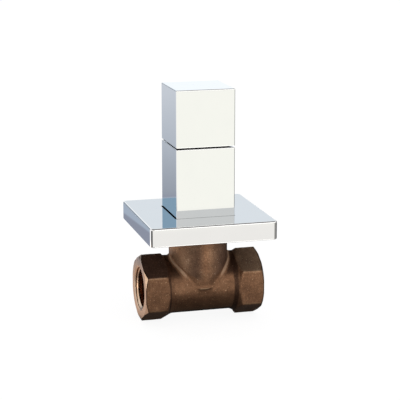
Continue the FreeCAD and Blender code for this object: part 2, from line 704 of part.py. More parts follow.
def spindle():
    # Drawn from the underside of its collar
    body = new_body("spindle", "collar")
    shaft = "Sizes.shaft_dia / 2"
    groove = "Sizes.spindle_bore_dia / 2 - Sizes.turning_play - Sizes.o_ring_section"
    corners = [
        ("0", "0"),
        ("Sizes.collar_dia / 2", "0"),
        ("Sizes.collar_dia / 2", "Sizes.collar_thick"),
        (shaft, "Sizes.collar_thick"),
    ]
    for number in range(2):
        foot = f"Sizes.o_ring_first + {number} * Sizes.o_ring_pitch"
        corners += [(shaft, foot), (groove, foot)]
        corners += [(rim, f"{foot} + Sizes.o_ring_groove_width") for rim in (groove, shaft)]
    clip_foot = "Levels.clip - Levels.collar"
    clip_top = f"{clip_foot} + Sizes.clip_thick + Sizes.turning_play"
    corners += [
        (shaft, clip_foot),
        ("Sizes.clip_groove_dia / 2", clip_foot),
        ("Sizes.clip_groove_dia / 2", clip_top),
        ("0", clip_top),
    ]
    turn(body, "outside", corners)
    teeth = new_sketch(body, "teeth", lift=clip_top)
    draw_spline(teeth)
    extrude(body, "spline", teeth, f"Levels.spindle_top - Levels.collar - ({clip_top})")
    # The stop runs in an arc cut from the top of the collar
    arc = new_sketch(body, "stop_arc", lift="Sizes.collar_thick")
    margin = "Sizes.stop_spread / 2 + Sizes.stop_play_angle"
    draw_sector(arc, "Sizes.stop_ring_dia", f"Sizes.collar_dia + {OVERCUT}",
                f"-Sizes.turn_angle - ({margin})", margin)
    depth = "Sizes.stop_drop - Sizes.washer_thick + 2 * Sizes.turning_play"
    extrude(body, "stop_clearance", arc, depth, cut=True, along=False)
    tongue = new_sketch(body, "tongue_outline")
    width = "Sizes.drive_slot_width - 2 * Sizes.fixed_play"
    draw_rectangle(tongue, "Sizes.tongue_length", width)
    extrude(body, "drive_tongue", tongue, "Sizes.drive_slot_depth", along=False)
    hole = new_sketch(body, "screw_circle", lift="Levels.spindle_top - Levels.collar")
    draw_circle(hole, "Sizes.screw_dia + 2 * Sizes.thread_play")
    extrude(body, "screw_hole", hole, "Sizes.screw_hole_depth", cut=True, along=False)


def o_ring(label, level):
    # Squeezed in its groove, flat towards the groove and towards the housing's bore
    body = new_body(label, level)
    outer = "(Sizes.spindle_bore_dia / 2 - Sizes.turning_play)"
    inner = f"({outer} - Sizes.o_ring_section)"
    bulge = "Sizes.o_ring_section / 4"
    turn(body, "section", [
        (inner, bulge),
        (f"{inner} + {bulge}", "0"),
        (f"{outer} - {bulge}", "0"),
        (outer, bulge),
        (outer, f"Sizes.o_ring_section - {bulge}"),
        (f"{outer} - {bulge}", "Sizes.o_ring_section"),
        (f"{inner} + {bulge}", "Sizes.o_ring_section"),
        (inner, f"Sizes.o_ring_section - {bulge}"),
    ])


def spindle_o_ring_lower():
    o_ring("spindle_o_ring_lower", "first_ring")


def spindle_o_ring_upper():
    o_ring("spindle_o_ring_upper", "second_ring")


def spindle_clip():
    # An open ring in the spindle's groove, above the housing
    body = new_body("spindle_clip", "clip")
    opening = "Sizes.clip_opening / 2"
    shape = new_sketch(body, "open_ring")
    draw_sector(shape, "Sizes.clip_groove_dia + 2 * Sizes.turning_play", "Sizes.clip_dia",
                opening, f"{FULL_TURN} - {opening}")
    extrude(body, "clip", shape, "Sizes.clip_thick")


def spindle_extension():
    # Carries the turn from the spindle to the handle, guided in the tube's bore
    body = new_body("spindle_extension", "extension")
    socket = "Levels.spindle_top - Levels.extension"
    shoulder = "Levels.insert - Levels.extension"
    guide = "Sizes.guide_level - Levels.extension"
    guide_radius = "Sizes.tube_bore_dia / 2 - Sizes.turning_play"
    rod = "Sizes.rod_dia / 2"
    turn(body, "outside", [
        ("0", "0"),
        ("Sizes.socket_dia / 2", "0"),
        ("Sizes.socket_dia / 2", f"{socket} + Sizes.socket_top_wall"),
        (rod, f"{socket} + Sizes.socket_top_wall"),
        (rod, guide),
        (guide_radius, guide),
        (guide_radius, f"{guide} + Sizes.guide_height"),
        (rod, f"{guide} + Sizes.guide_height"),
        (rod, shoulder),
        ("0", shoulder),
    ])
    teeth = new_sketch(body, "teeth", lift=shoulder)
    draw_spline(teeth)
    extrude(body, "spline", teeth, "Sizes.insert_height")
    sockets = new_sketch(body, "socket_teeth")
    draw_spline(sockets, "Sizes.turning_play")
    extrude(body, "spline_socket", sockets, socket, cut=True)
    hole = new_sketch(body, "screw_circle")
    draw_circle(hole, "Sizes.screw_dia + 2 * Sizes.fixed_play")
    length = "Levels.insert_top - Levels.extension"
    extrude(body, "screw_hole", hole, length, cut=True)


def extension_screw():
    # From its head on the extension down into the spindle
    body = new_body("extension_screw", "insert_top")
    turn(body, "outside", [
        ("0", "-Sizes.screw_length"),
        ("Sizes.screw_dia / 2", "-Sizes.screw_length"),
        ("Sizes.screw_dia / 2", "0"),
        ("Sizes.screw_head_dia / 2", "0"),
        ("Sizes.screw_head_dia / 2", "Sizes.screw_head_height"),
        ("0", "Sizes.screw_head_height"),
    ])
    key = new_sketch(body, "key", lift="Sizes.screw_head_height")
    draw_hexagon(key, "Sizes.screw_socket_across")
    extrude(body, "socket", key, "Sizes.screw_socket_depth", cut=True, along=False)


def handle_insert():
    # A hexagon outside for the handle and a splined bore for the extension
    body = new_body("handle_insert", "insert")
    flats = new_sketch(body, "flats")
    draw_hexagon(flats, "Sizes.insert_across", first_corner=0)
    extrude(body, "hexagon", flats, "Sizes.insert_height")
    teeth = new_sketch(body, "teeth")
    draw_spline(teeth, "Sizes.turning_play")
    extrude(body, "spline_bore", teeth, "Sizes.insert_height", cut=True)


def handle():
    # A square cap, hollow from below, with a ribbed hub for the insert
    body = new_body("handle", "handle")
    side = "Sizes.square_side"
    outline = new_sketch(body, "square")
    draw_rectangle(outline, side, side)
    extrude(body, "block", outline, "Sizes.handle_height")
    half = sheet.square_side / 2
    ease_edges(body, "corner_rounds", "Sizes.square_edge_round", lambda edge: runs_up(edge, half))
    for name, level in (("foot_bevel", 0), ("top_bevel", sheet.handle_height)):
        ease_edges(body, name, "Sizes.square_edge_bevel",
                   lambda edge: lies_at(edge, level, half), "PartDesign::Chamfer")
    ceiling = "(Sizes.handle_height - Sizes.handle_top_wall)"
    hollow = new_sketch(body, "hollow_square")
    inside = f"{side} - 2 * Sizes.handle_wall"
    draw_rectangle(hollow, inside, inside)
    extrude(body, "hollow", hollow, ceiling, cut=True)
    hub = new_sketch(body, "hub_circle", lift="Sizes.hub_rise")
    draw_circle(hub, "Sizes.hub_dia")
    extrude(body, "hub", hub, f"{ceiling} - Sizes.hub_rise")
    for name, width, depth in (("ribs_across", inside, "Sizes.rib_width"),
                               ("ribs_along", "Sizes.rib_width", inside)):
        ribs = new_sketch(body, f"{name}_outline", lift=ceiling)
        draw_rectangle(ribs, width, depth)
        extrude(body, name, ribs, "Sizes.rib_height", along=False)
    # The boss and the threaded hole of the grub screw run in from the back
    back = "Sizes.square_side / 2"
    boss = new_sketch(body, "boss_circle", "XZ_Plane", f"-({back} - Sizes.handle_wall / 2)")
    draw_circle(boss, "Sizes.grub_boss_dia", "0", "Sizes.grub_level")
    boss_length = f"{back} - Sizes.handle_wall / 2 - Sizes.insert_across / 2"
    extrude(body, "grub_boss", boss, boss_length)
    bore = new_sketch(body, "insert_bore_flats", lift="Sizes.hub_rise")
    bore_across = "Sizes.insert_across + 2 * Sizes.turning_play"
    draw_hexagon(bore, bore_across, first_corner=0)
    extrude(body, "insert_bore", bore, "Sizes.insert_bore_height", cut=True)
    grub = new_sketch(body, "grub_circle", "XZ_Plane", f"-({back})")
    draw_circle(grub, "Sizes.grub_dia + 2 * Sizes.thread_play", "0", "Sizes.grub_level")
    extrude(body, "grub_hole", grub, back, cut=True)


def handle_grub_screw():
    # Presses on the insert's back flat, with its socket open at the back of the handle
    body = new_body("handle_grub_screw", "handle")
    tip = "Sizes.insert_across / 2"
    shank = new_sketch(body, "shank_circle", "XZ_Plane", f"-({tip})")
    draw_circle(shank, "Sizes.grub_dia", "0", "Sizes.grub_level")
    extrude(body, "shank", shank, "Sizes.grub_length", along=False)
    key = new_sketch(body, "key", "XZ_Plane", f"-({tip} + Sizes.grub_length)")
    draw_hexagon(key, "Sizes.grub_socket_across", height="Sizes.grub_level")
    extrude(body, "socket", key, "Sizes.grub_socket_depth", cut=True)


fixed_pieces = (
    body_casting, headwork_housing, headwork_gasket, seat_seal, fixed_disc, thrust_washer,
    fixing_tube, sleeve, ring_nut, flange, flange_grip_ring, wall_gasket,
)
turning_pieces = (
    moving_disc, spindle, spindle_clip, spindle_extension, extension_screw, handle_insert,
    handle, handle_grub_screw, spindle_o_ring_lower, spindle_o_ring_upper,
)
for build_piece in fixed_pieces + turning_pieces:
    build_piece()

doc.recompute()
for item in doc.Objects:
    if "Invalid" in item.State or "Error" in item.State:
        raise RuntimeError(f"{item.Label} did not compute")
for piece in pieces:
    if piece.Shape.isNull() or not piece.Shape.isValid():
        raise RuntimeError(f"{piece.Label} is not a valid solid")
os.makedirs("parts", exist_ok=True)
for piece in pieces:
    piece.Shape.exportStep(f"parts/{piece.Label}.step")
    print(piece.Label, len(piece.Shape.Solids), round(piece.Shape.Volume, 2))
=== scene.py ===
import json
import math

import bpy
from mathutils import Matrix, Vector

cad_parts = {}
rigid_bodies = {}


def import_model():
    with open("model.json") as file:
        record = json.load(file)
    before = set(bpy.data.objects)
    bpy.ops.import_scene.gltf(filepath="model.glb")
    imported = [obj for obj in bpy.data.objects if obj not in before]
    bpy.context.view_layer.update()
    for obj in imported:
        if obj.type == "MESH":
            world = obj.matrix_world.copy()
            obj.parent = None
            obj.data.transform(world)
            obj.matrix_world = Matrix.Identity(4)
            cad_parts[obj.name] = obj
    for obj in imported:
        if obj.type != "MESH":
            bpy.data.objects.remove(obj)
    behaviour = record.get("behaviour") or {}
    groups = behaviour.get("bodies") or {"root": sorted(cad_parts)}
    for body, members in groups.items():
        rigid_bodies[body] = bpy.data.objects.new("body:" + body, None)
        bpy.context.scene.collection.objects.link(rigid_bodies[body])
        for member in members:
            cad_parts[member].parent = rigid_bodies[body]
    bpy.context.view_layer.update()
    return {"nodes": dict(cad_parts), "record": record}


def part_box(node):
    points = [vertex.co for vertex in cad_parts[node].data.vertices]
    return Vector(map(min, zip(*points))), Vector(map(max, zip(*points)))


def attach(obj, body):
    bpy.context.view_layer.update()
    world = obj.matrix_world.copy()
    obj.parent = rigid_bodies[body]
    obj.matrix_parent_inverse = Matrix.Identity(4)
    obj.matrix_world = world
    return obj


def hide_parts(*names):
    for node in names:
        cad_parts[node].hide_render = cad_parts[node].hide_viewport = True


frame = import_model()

# Isolating valve: rough cast brass body, chromed square flange, sleeve and handle.
# The scene is in metres, and mm turns the millimetres in the dictionaries into them.
mm = 0.001
nodes = frame["nodes"]
scene = bpy.context.scene
pipeHeight = -27.2        # height of the pipe's axis, in millimetres
pipeCentre = (0, 0, pipeHeight)
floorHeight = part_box("body_casting")[0].z / mm
turnSteps = 128           # facets of a turned shape
rodSides = 96             # facets of a rod
hexTurn = math.radians(30)         # between a hexagon's corner and the middle of its flat
smoothLimit = math.radians(32)     # chromed faces that meet at less are shaded as one
past = 1                  # how far tools, and metal that is cut off, reach out, in millimetres
lap = 0.5                 # how far one piece reaches into the next, in millimetres
merging = {"turned": 0.003, "wound": 0.002, "slivers": 0.001}     # distances in millimetres


# Small helpers

def deselectAll():
    bpy.ops.object.select_all(action="DESELECT")


def pick(*pieces):
    # selects the pieces and makes the first one active
    deselectAll()
    for piece in pieces:
        piece.select_set(True)
    bpy.context.view_layer.objects.active = pieces[0]


def editAll(piece):
    # opens a piece's mesh with all of it selected
    pick(piece)
    bpy.ops.object.mode_set(mode="EDIT")
    bpy.ops.mesh.select_all(action="SELECT")


def endEdit():
    bpy.ops.object.mode_set(mode="OBJECT")


def applyModifiers(piece):
    pick(piece)
    for modifier in list(piece.modifiers):
        bpy.ops.object.modifier_apply(modifier=modifier.name)


def fixPlace(piece):
    # a finished piece sits at the origin, with its place in its mesh
    pick(piece)
    bpy.ops.object.transform_apply(location=True, rotation=True, scale=True)


def joined(name, pieces):
    pick(*pieces)
    bpy.ops.object.join()
    pieces[0].name = name
    return pieces[0]


def boolean(piece, tool, operation="DIFFERENCE"):
    change = piece.modifiers.new("boolean", "BOOLEAN")
    change.operation = operation
    change.object = tool
    change.solver = "MANIFOLD"
    change.material_mode = "TRANSFER"
    applyModifiers(piece)
    bpy.data.objects.remove(tool)


def turned(name, outline, axis, centre=(0, 0, 0)):
    # a closed turned solid: (along, out) pairs in millimetres, from axis to axis, spun round
    deselectAll()
    bpy.ops.mesh.primitive_plane_add(size=mm)
    piece = bpy.context.object
    piece.name = name
    editAll(piece)
    bpy.ops.mesh.delete(type="VERT")
    endEdit()
    middle = Vector(centre) * mm
    spots = [(along, 0, out) if axis == "X" else (out, 0, along) for along, out in outline]
    piece.data.from_pydata([Vector(spot) * mm + middle for spot in spots],
                           [(n, n + 1) for n in range(len(spots) - 1)], [])
    editAll(piece)
    bpy.ops.mesh.spin(steps=turnSteps, angle=2 * math.pi, center=middle,
                      axis=(1, 0, 0) if axis == "X" else (0, 0, 1))
    bpy.ops.mesh.select_all(action="SELECT")
    bpy.ops.mesh.remove_doubles(threshold=merging["turned"] * mm)
    bpy.ops.mesh.normals_make_consistent(inside=False)
    endEdit()
    return piece


def block(name, across, along, low, high):
    # a box round the Z axis, in millimetres
    deselectAll()
    bpy.ops.mesh.primitive_cube_add(size=mm, location=(0, 0, (low + high) / 2 * mm))
    piece = bpy.context.object
    piece.name = name
    piece.scale = (across, along, high - low)
    fixPlace(piece)
    return piece


def rod(name, radius, low, high, axis="Z", centre=(0, 0, 0), sides=rodSides):
    # a cylinder or prism between two places along an axis, in millimetres
    x, y, z = centre
    half = (low + high) / 2
    middle, turn = {"X": ((half, y, z), (0, math.pi / 2, 0)),
                    "Y": ((x, half, z), (math.pi / 2, 0, 0)),
                    "Z": ((x, y, half), (0, 0, 0))}[axis]
    deselectAll()
    bpy.ops.mesh.primitive_cylinder_add(vertices=sides, radius=radius * mm, rotation=turn,
                                        depth=(high - low) * mm, location=Vector(middle) * mm)
    piece = bpy.context.object
    piece.name = name
    fixPlace(piece)
    return piece


def hexCorner(across):
    # radius to a hexagon's corners, from its width across the flats
    return across / 2 / math.cos(hexTurn)


def roundEdges(piece, chosen, radius, segments):
    # rounds the edges that chosen picks by the places of their two ends, in millimetres
    pick(piece)
    bpy.ops.object.mode_set(mode="EDIT")
    bpy.ops.mesh.select_mode(type="EDGE")
    bpy.ops.mesh.select_all(action="DESELECT")
    endEdit()
    spots = [vertex.co / mm for vertex in piece.data.vertices]
    for edge in piece.data.edges:
        edge.select = chosen(*[spots[n] for n in edge.vertices])
    bpy.ops.object.mode_set(mode="EDIT")
    bpy.ops.mesh.bevel(offset=radius * mm, segments=segments)
    endEdit()


def paint(piece, material):
    piece.data.materials.clear()
    piece.data.materials.append(material)


# Materials

white = (1, 1, 1)


def feed(tree, entry, value):
    # links another node's output, or sets a number, a vector or a colour
    if isinstance(value, bpy.types.NodeSocket):
        tree.links.new(value, entry)
    else:
        entry.default_value = (*value, 1) if entry.type == "RGBA" else value


def emptyMaterial(name):
    material = bpy.data.materials.new(name)
    material.use_nodes = True
    material.node_tree.nodes.clear()
    return material, material.node_tree


def showSurface(tree, surface, output="ShaderNodeOutputMaterial"):
    tree.links.new(surface, tree.nodes.new(output).inputs["Surface"])


def coordinates(tree, kind="Object"):
    return tree.nodes.new("ShaderNodeTexCoord").outputs[kind]


def newMaterial(name, metallic):
    # a finish for pieces: the material, its nodes, its shader and the place on the piece
    material, tree = emptyMaterial(name)
    shader = tree.nodes.new("ShaderNodeBsdfPrincipled")
    shader.inputs["Metallic"].default_value = metallic
    showSurface(tree, shader.outputs["BSDF"])
    return material, tree, shader, coordinates(tree)


def noise(tree, place, size, detail=3, roughness=0.5):
    # size is the grain's width in millimetres
    texture = tree.nodes.new("ShaderNodeTexNoise")
    texture.inputs["Scale"].default_value = 1 / (size * mm)
    texture.inputs["Detail"].default_value = detail
    texture.inputs["Roughness"].default_value = roughness
    tree.links.new(place, texture.inputs["Vector"])
    return texture.outputs["Fac"]


def ramp(tree, factor, stops):
    # stops are (position, colour or grey) pairs
    node = tree.nodes.new("ShaderNodeValToRGB")
    points = node.color_ramp.elements
    while len(points) < len(stops):
        points.new(0.5)
    for point, (position, colour) in zip(points, stops):
        point.position = position
        point.color = (*colour, 1) if isinstance(colour, tuple) else (colour, colour, colour, 1)
    tree.links.new(factor, node.inputs["Fac"])
    return node.outputs["Color"]


def share(tree, value, low, high):
    # 0 at the low value and 1 at the high one, in a straight line
    node = tree.nodes.new("ShaderNodeMapRange")
    node.inputs["From Min"].default_value = low
    node.inputs["From Max"].default_value = high
    tree.links.new(value, node.inputs["Value"])
    return node.outputs["Result"]


def spread(tree, value, first, last, low=0.3, high=0.7):
    # eases from the first number at the low value to the last one at the high value; the usual
    # low and high take in most of a noise
    result = share(tree, value, low, high)
    result.node.interpolation_type = "SMOOTHSTEP"
    result.node.inputs["To Min"].default_value = first
    result.node.inputs["To Max"].default_value = last
    return result


def vectorStep(tree, operation, *values):
    node = tree.nodes.new("ShaderNodeVectorMath")
    node.operation = operation
    for entry, value in zip(node.inputs, values):
        feed(tree, entry, value)
    return node.outputs["Value" if operation in ("LENGTH", "DISTANCE") else "Vector"]


def reach(tree, place, axes, middle=(0, 0, 0)):
    # distance in millimetres from a middle point, measured only along the given axes
    moved = vectorStep(tree, "SUBTRACT", place, Vector(middle) * mm)
    return vectorStep(tree, "LENGTH", vectorStep(tree, "MULTIPLY", moved, Vector(axes) / mm))


def separated(tree, vector):
    node = tree.nodes.new("ShaderNodeSeparateXYZ")
    tree.links.new(vector, node.inputs["Vector"])
    return [node.outputs[axis] for axis in "XYZ"]


def reckon(tree, operation, first, second=0):
    node = tree.nodes.new("ShaderNodeMath")
    node.operation = operation
    for entry, value in zip(node.inputs, (first, second)):
        feed(tree, entry, value)
    return node.outputs["Value"]


def times(tree, first, second):
    return reckon(tree, "MULTIPLY", first, second)


def minus(tree, first, second):
    return reckon(tree, "SUBTRACT", first, second)


def zone(tree, measures, limits):
    # a mask from one or more measures, clear at a limit's first number and full at its second;
    # with three numbers, these two are distances from the first one
    mask = limits.get("strength", 1.0)
    for name in [name for name in limits if name in measures]:
        value, (clear, full) = measures[name], limits[name][-2:]
        if len(limits[name]) == 3:
            value = reckon(tree, "ABSOLUTE", minus(tree, value, limits[name][0]))
        ease = (0, 1, clear, full) if clear < full else (1, 0, full, clear)
        mask = times(tree, mask, spread(tree, value, *ease))
    return mask


def mixed(tree, factor, first, second, blend="MIX"):
    node = tree.nodes.new("ShaderNodeMix")
    node.data_type = "RGBA"
    node.blend_type = blend
    values = {("Factor", "VALUE"): factor, ("A", "RGBA"): first, ("B", "RGBA"): second}
    for entry in node.inputs:
        if (entry.name, entry.type) in values:
            feed(tree, entry, values[entry.name, entry.type])
    return [result for result in node.outputs if result.type == "RGBA"][0]


def multiplied(tree, first, second):
    return mixed(tree, 1.0, first, second, "MULTIPLY")


def bump(tree, shader, height, strength, distance):
    # distance is the height of the relief in millimetres
    node = tree.nodes.new("ShaderNodeBump")
    node.inputs["Strength"].default_value = strength
    node.inputs["Distance"].default_value = distance * mm
    tree.links.new(height, node.inputs["Height"])
    for earlier in shader.inputs["Normal"].links:
        tree.links.new(earlier.from_socket, node.inputs["Normal"])
    tree.links.new(node.outputs["Normal"], shader.inputs["Normal"])


# sizes in millimetres that the casting's look and its shape share
turnedEnd = {"half": 28.8, "faceRadius": 14.45, "bevel": 30}
barrel = {"radius": 13.0, "ridgeRise": 15.5, "footRise": 10.4, "footHalf": 7.6, "ridgeHalf": 18}
ridgeSlope = (barrel["ridgeRise"] - barrel["footRise"]) / barrel["footHalf"]
bevelSlope = math.tan(math.radians(turnedEnd["bevel"]))

castLook = {
    "dark": (0.165, 0.081, 0.043), "middle": (0.220, 0.110, 0.058),
    "light": (0.300, 0.158, 0.086), "highlightTone": (0.52, 0.33, 0.20), "metallic": 0.8,
    # widths in millimetres of the patches of colour, sand grain, painted glints, the breakup of
    # the painted edge highlights and swells
    "patch": 6.0, "grain": 0.40, "glint": 0.75, "edgeBreakup": 1.1, "swell": 1.6,
    "patchAt": (0.28, 0.50, 0.76), "speckle": [(0.40, 0.78), (0.56, 1.0), (0.68, 1.35)],
    "glintAt": (0.66, 0.74), "roughness": (0.58, 0.40),
    # how the painted highlights on the edges break up, and how the painted shade in the steps
    # fades, as spread reads it
    "edgeByPatch": (0.4, 1.0, 0.35, 0.6), "edgeByBreakup": (0.35, 1.0, 0.40, 0.58),
    "stepShadeByRadius": (1, 0.2, 13.6, 15.4),
    "swellBump": (0.5, 0.10), "grainBump": (0.6, 0.06),     # strength and height
    # painted shade and light on the upper flats from left to right, and on the neck's wall from
    # left to right
    "flatsFrom": -10, "flatsTo": 28, "flatsShadeLeft": (0.55, 0.58, 0.70),
    "flatsLightRight": (1.35, 1.65, 1.90),
    "wallHalf": 14, "wallShadingTones": [
        (0.05, (1.6, 1.8, 2.0)), (0.15, (1.15, 1.3, 1.5)), (0.26, (0.68, 0.74, 0.86)),
        (0.36, (0.66, 0.70, 0.78)), (0.50, (1.05, 1.05, 1.05)), (0.66, (1.25, 1.35, 1.45)),
        (0.90, (0.84, 0.94, 1.14))],
}
# where the casting's colour changes, in millimetres, as zone reads it: x and along run along the
# pipe, height is over its axis, and the others are distances from the casting's forms
castMarks = {
    # painted highlight along the hexagons' edges
    "edges": {"strength": 0.42, "fromPipe": (15.85, 16.15), "along": (16.0, 17.4)},
    # painted highlight along the seam bead where the neck meets the barrel
    "seam": {"colour": (0.42, 0.27, 0.175), "strength": 0.85, "height": (5.2, 9.0),
             "fromNeck": (14.30, 0.56, 0.22), "fromBarrel": (0.45, 0.56, 0.22)},
    # painted highlight on the lip at the nose's foot
    "lip": {"colour": castLook["highlightTone"], "strength": 0.8, "height": (1.15, 0.50, 0.15),
            "x": (-0.3, 2.7, 1.6)},
    # painted shadow under the lip
    "shadowUnderLip": {"colour": (0.50, 0.45, 0.42), "strength": 0.8, "height": (-0.7, 1.5, 0.5),
                 "x": (-0.3, 4.5, 2.0)},
    # painted shade on the barrel's flanks beside the neck
    "flank": {"colour": (0.42, 0.40, 0.40), "height": (5.5, 8.5), "fromNeck": (15.0, 15.8),
              "along": (17.2, 16.6)},
    # painted shade and light on the upper flats
    "upperFlatsShading": {"height": (8.0, 8.6), "along": (16.6, 17.4)},
    # painted light and shade on the neck's wall
    "neckWallShading": {"fromNeck": (13.9, 0.9, 0.5), "fromBarrel": (0.8, 2.0)},
    # painted shade along the barrel's sole
    "soleShade": {"colour": (0.10, 0.09, 0.09), "height": (-10.0, -11.2), "fromPipe": (14.3, 13.5)},
    # a painted shade line along the turned ends
    "endShadeLine": {"colour": (0.25, 0.22, 0.20), "strength": 0.75, "fromEnd": (0.75, 0.30)},
    # painted shade in the steps between the barrel and the hexagons
    "leftStepShade": {"colour": (0.38, 0.36, 0.38), "x": (-16.7, 0.62, 0.18)},
    "rightStepShade": {"colour": (0.38, 0.36, 0.38), "x": (15.5, 1.4, 0.6)},
}


def castMeasures(tree, place):
    # the measures that the marks are given in
    x, y, z = [reckon(tree, "DIVIDE", value, mm) for value in separated(tree, place)]
    height = minus(tree, z, pipeHeight)
    across = reach(tree, place, (0, 1, 0))
    along = reach(tree, place, (1, 0, 0))
    fromPipe = reach(tree, place, (0, 1, 1), pipeCentre)
    aboveRidge = minus(tree, reckon(tree, "ADD", height, times(tree, across, ridgeSlope)),
                       barrel["ridgeRise"])
    aboveRidge = times(tree, aboveRidge, 1 / math.hypot(1, ridgeSlope))
    aboveRidge = reckon(tree, "MAXIMUM", aboveRidge, minus(tree, across, barrel["footHalf"]))
    pastFace = reckon(tree, "MAXIMUM", minus(tree, fromPipe, turnedEnd["faceRadius"]), 0)
    turnedTo = minus(tree, turnedEnd["half"], times(tree, pastFace, bevelSlope))
    return {
        "x": x, "height": height, "along": along, "fromPipe": fromPipe,
        "fromNeck": reach(tree, place, (1, 1, 0)),
        "fromBarrel": reckon(tree, "MINIMUM", aboveRidge,
                             minus(tree, fromPipe, barrel["radius"])),
        "fromEnd": minus(tree, turnedTo, along),
    }


def castBrassMaterial():
    look = castLook
    material, tree, shader, place = newMaterial("castBrass", look["metallic"])
    patches = noise(tree, place, look["patch"], detail=4, roughness=0.6)
    grain = noise(tree, place, look["grain"], detail=4, roughness=0.6)
    tones = [look[name] for name in ("dark", "middle", "light")]
    colour = ramp(tree, patches, list(zip(look["patchAt"], tones)))
    colour = multiplied(tree, colour, ramp(tree, grain, look["speckle"]))
    # painted glints: specks of the highlight tone
    glints = noise(tree, place, look["glint"], detail=2)
    colour = mixed(tree, spread(tree, glints, 0, 1, *look["glintAt"]), colour, look["highlightTone"])
    measures = castMeasures(tree, place)
    masks = {name: zone(tree, measures, limits) for name, limits in castMarks.items()}

    def marked(under, name):
        return mixed(tree, masks[name], under, castMarks[name]["colour"])

    # painted highlights: the hexagons' edges, the neck's seam and the lip at the nose's foot are
    # painted bright
    edgeBreakup = noise(tree, place, look["edgeBreakup"], detail=2)
    edges = times(tree, masks["edges"], spread(tree, patches, *look["edgeByPatch"]))
    edges = times(tree, edges, spread(tree, edgeBreakup, *look["edgeByBreakup"]))
    colour = mixed(tree, edges, colour, look["highlightTone"])
    colour = marked(marked(colour, "seam"), "lip")
    # painted shade under the lip and on the barrel's flanks beside the neck
    paintedShading = marked(marked(white, "shadowUnderLip"), "flank")
    # painted shade and light: the upper flats are darker at the left end, paler and greyer at the
    # right
    toRight = spread(tree, measures["x"], 0, 1, look["flatsFrom"], look["flatsTo"])
    flats = mixed(tree, toRight, look["flatsShadeLeft"], look["flatsLightRight"])
    paintedShading = mixed(tree, masks["upperFlatsShading"], paintedShading, flats)
    # painted light and shade: the neck's wall is paler on its left and darker beside its middle
    aroundWall = spread(tree, measures["x"], 0, 1, -look["wallHalf"], look["wallHalf"])
    wallShading = ramp(tree, aroundWall, look["wallShadingTones"])
    paintedShading = mixed(tree, masks["neckWallShading"], paintedShading, wallShading, "MULTIPLY")
    # painted shade: the barrel is dark along its sole, and a fine dark line edges the turned ends
    paintedShading = marked(marked(paintedShading, "soleShade"), "endShadeLine")
    # painted shade in the steps between the barrel and the hexagons
    stepShadeFade = spread(tree, measures["fromPipe"], *look["stepShadeByRadius"])
    for name in ("leftStepShade", "rightStepShade"):
        masks[name] = times(tree, masks[name], stepShadeFade)
        paintedShading = marked(paintedShading, name)
    # the painted light and shade darken or lighten the colour
    tree.links.new(multiplied(tree, colour, paintedShading), shader.inputs["Base Color"])
    tree.links.new(spread(tree, grain, *look["roughness"]), shader.inputs["Roughness"])
    bump(tree, shader, noise(tree, place, look["swell"]), *look["swellBump"])
    bump(tree, shader, grain, *look["grainBump"])
    return material


machinedLook = {
    "stained": (0.62, 0.45, 0.33), "clean": (0.80, 0.60, 0.45), "stainAt": (0.32, 0.68),
    "stain": 3.0, "grain": 0.5, "grainBump": (0.25, 0.02), "roughness": (0.20, 0.30),
    # painted shade: the threads are darker away from the mouths
    "boreShade": {"colour": (0.42, 0.22, 0.13), "fromPipe": (10.8, 10.5), "along": (27.2, 25.6)},
}


def machinedBrassMaterial():
    look = machinedLook
    material, tree, shader, place = newMaterial("machinedBrass", 1.0)
    stain = noise(tree, place, look["stain"], detail=4)
    colour = ramp(tree, stain, list(zip(look["stainAt"], (look["stained"], look["clean"]))))
    measures = {"fromPipe": reach(tree, place, (0, 1, 1), pipeCentre),
                "along": reach(tree, place, (1, 0, 0))}
    # painted shade deep in the threaded bore
    colour = mixed(tree, zone(tree, measures, look["boreShade"]), colour, look["boreShade"]["colour"])
    tree.links.new(colour, shader.inputs["Base Color"])
    tree.links.new(spread(tree, stain, *look["roughness"]), shader.inputs["Roughness"])
    bump(tree, shader, noise(tree, place, look["grain"], detail=2), *look["grainBump"])
    return material


chromeLook = {
    "haze": 9.0, "tones": [(0.3, (0.945, 0.950, 0.955)), (0.7, (0.960, 0.963, 0.966))],
    "roughness": (0.015, 0.035),
}


def chromeMaterial():
    material, tree, shader, place = newMaterial("chrome", 1.0)
    haze = noise(tree, place, chromeLook["haze"])
    tree.links.new(ramp(tree, haze, chromeLook["tones"]), shader.inputs["Base Color"])
    tree.links.new(spread(tree, haze, *chromeLook["roughness"]), shader.inputs["Roughness"])
    return material


# two colours, roughness, metallic, width of the grain and height of its relief
plainLooks = {
    "rubber": ((0.012, 0.012, 0.013), (0.025, 0.025, 0.026), 0.6, 0, 0.8, 0.02),
    "ceramic": ((0.80, 0.79, 0.75), (0.86, 0.85, 0.82), 0.25, 0, 1.5, 0.01),
    "plastic": ((0.62, 0.61, 0.58), (0.70, 0.69, 0.66), 0.4, 0, 0.7, 0.015),
    "steel": ((0.52, 0.52, 0.53), (0.62, 0.62, 0.63), 0.28, 1, 0.5, 0.01),
    "foam": ((0.018, 0.018, 0.019), (0.05, 0.05, 0.052), 0.9, 0, 0.6, 0.15),
}


def plainMaterial(name, first, second, roughness, metallic, grain, relief):
    material, tree, shader, place = newMaterial(name, metallic)
    shade = noise(tree, place, grain)
    vary = 0.05
    tree.links.new(ramp(tree, shade, [(0.3, first), (0.7, second)]), shader.inputs["Base Color"])
    tree.links.new(spread(tree, shade, roughness - vary, roughness + vary),
                   shader.inputs["Roughness"])
    bump(tree, shader, shade, strength=0.3, distance=relief)
    return material


looks = {"cast_brass": castBrassMaterial(), "machined_brass": machinedBrassMaterial(),
         "chrome": chromeMaterial()}
for finish, values in plainLooks.items():
    looks[finish] = plainMaterial(finish, *values)
for part in frame["record"]["subparts"]:
    paint(nodes[part["node"]], looks[part["material_slot"]])
print("materials: made and given to", len(nodes), "CAD nodes")


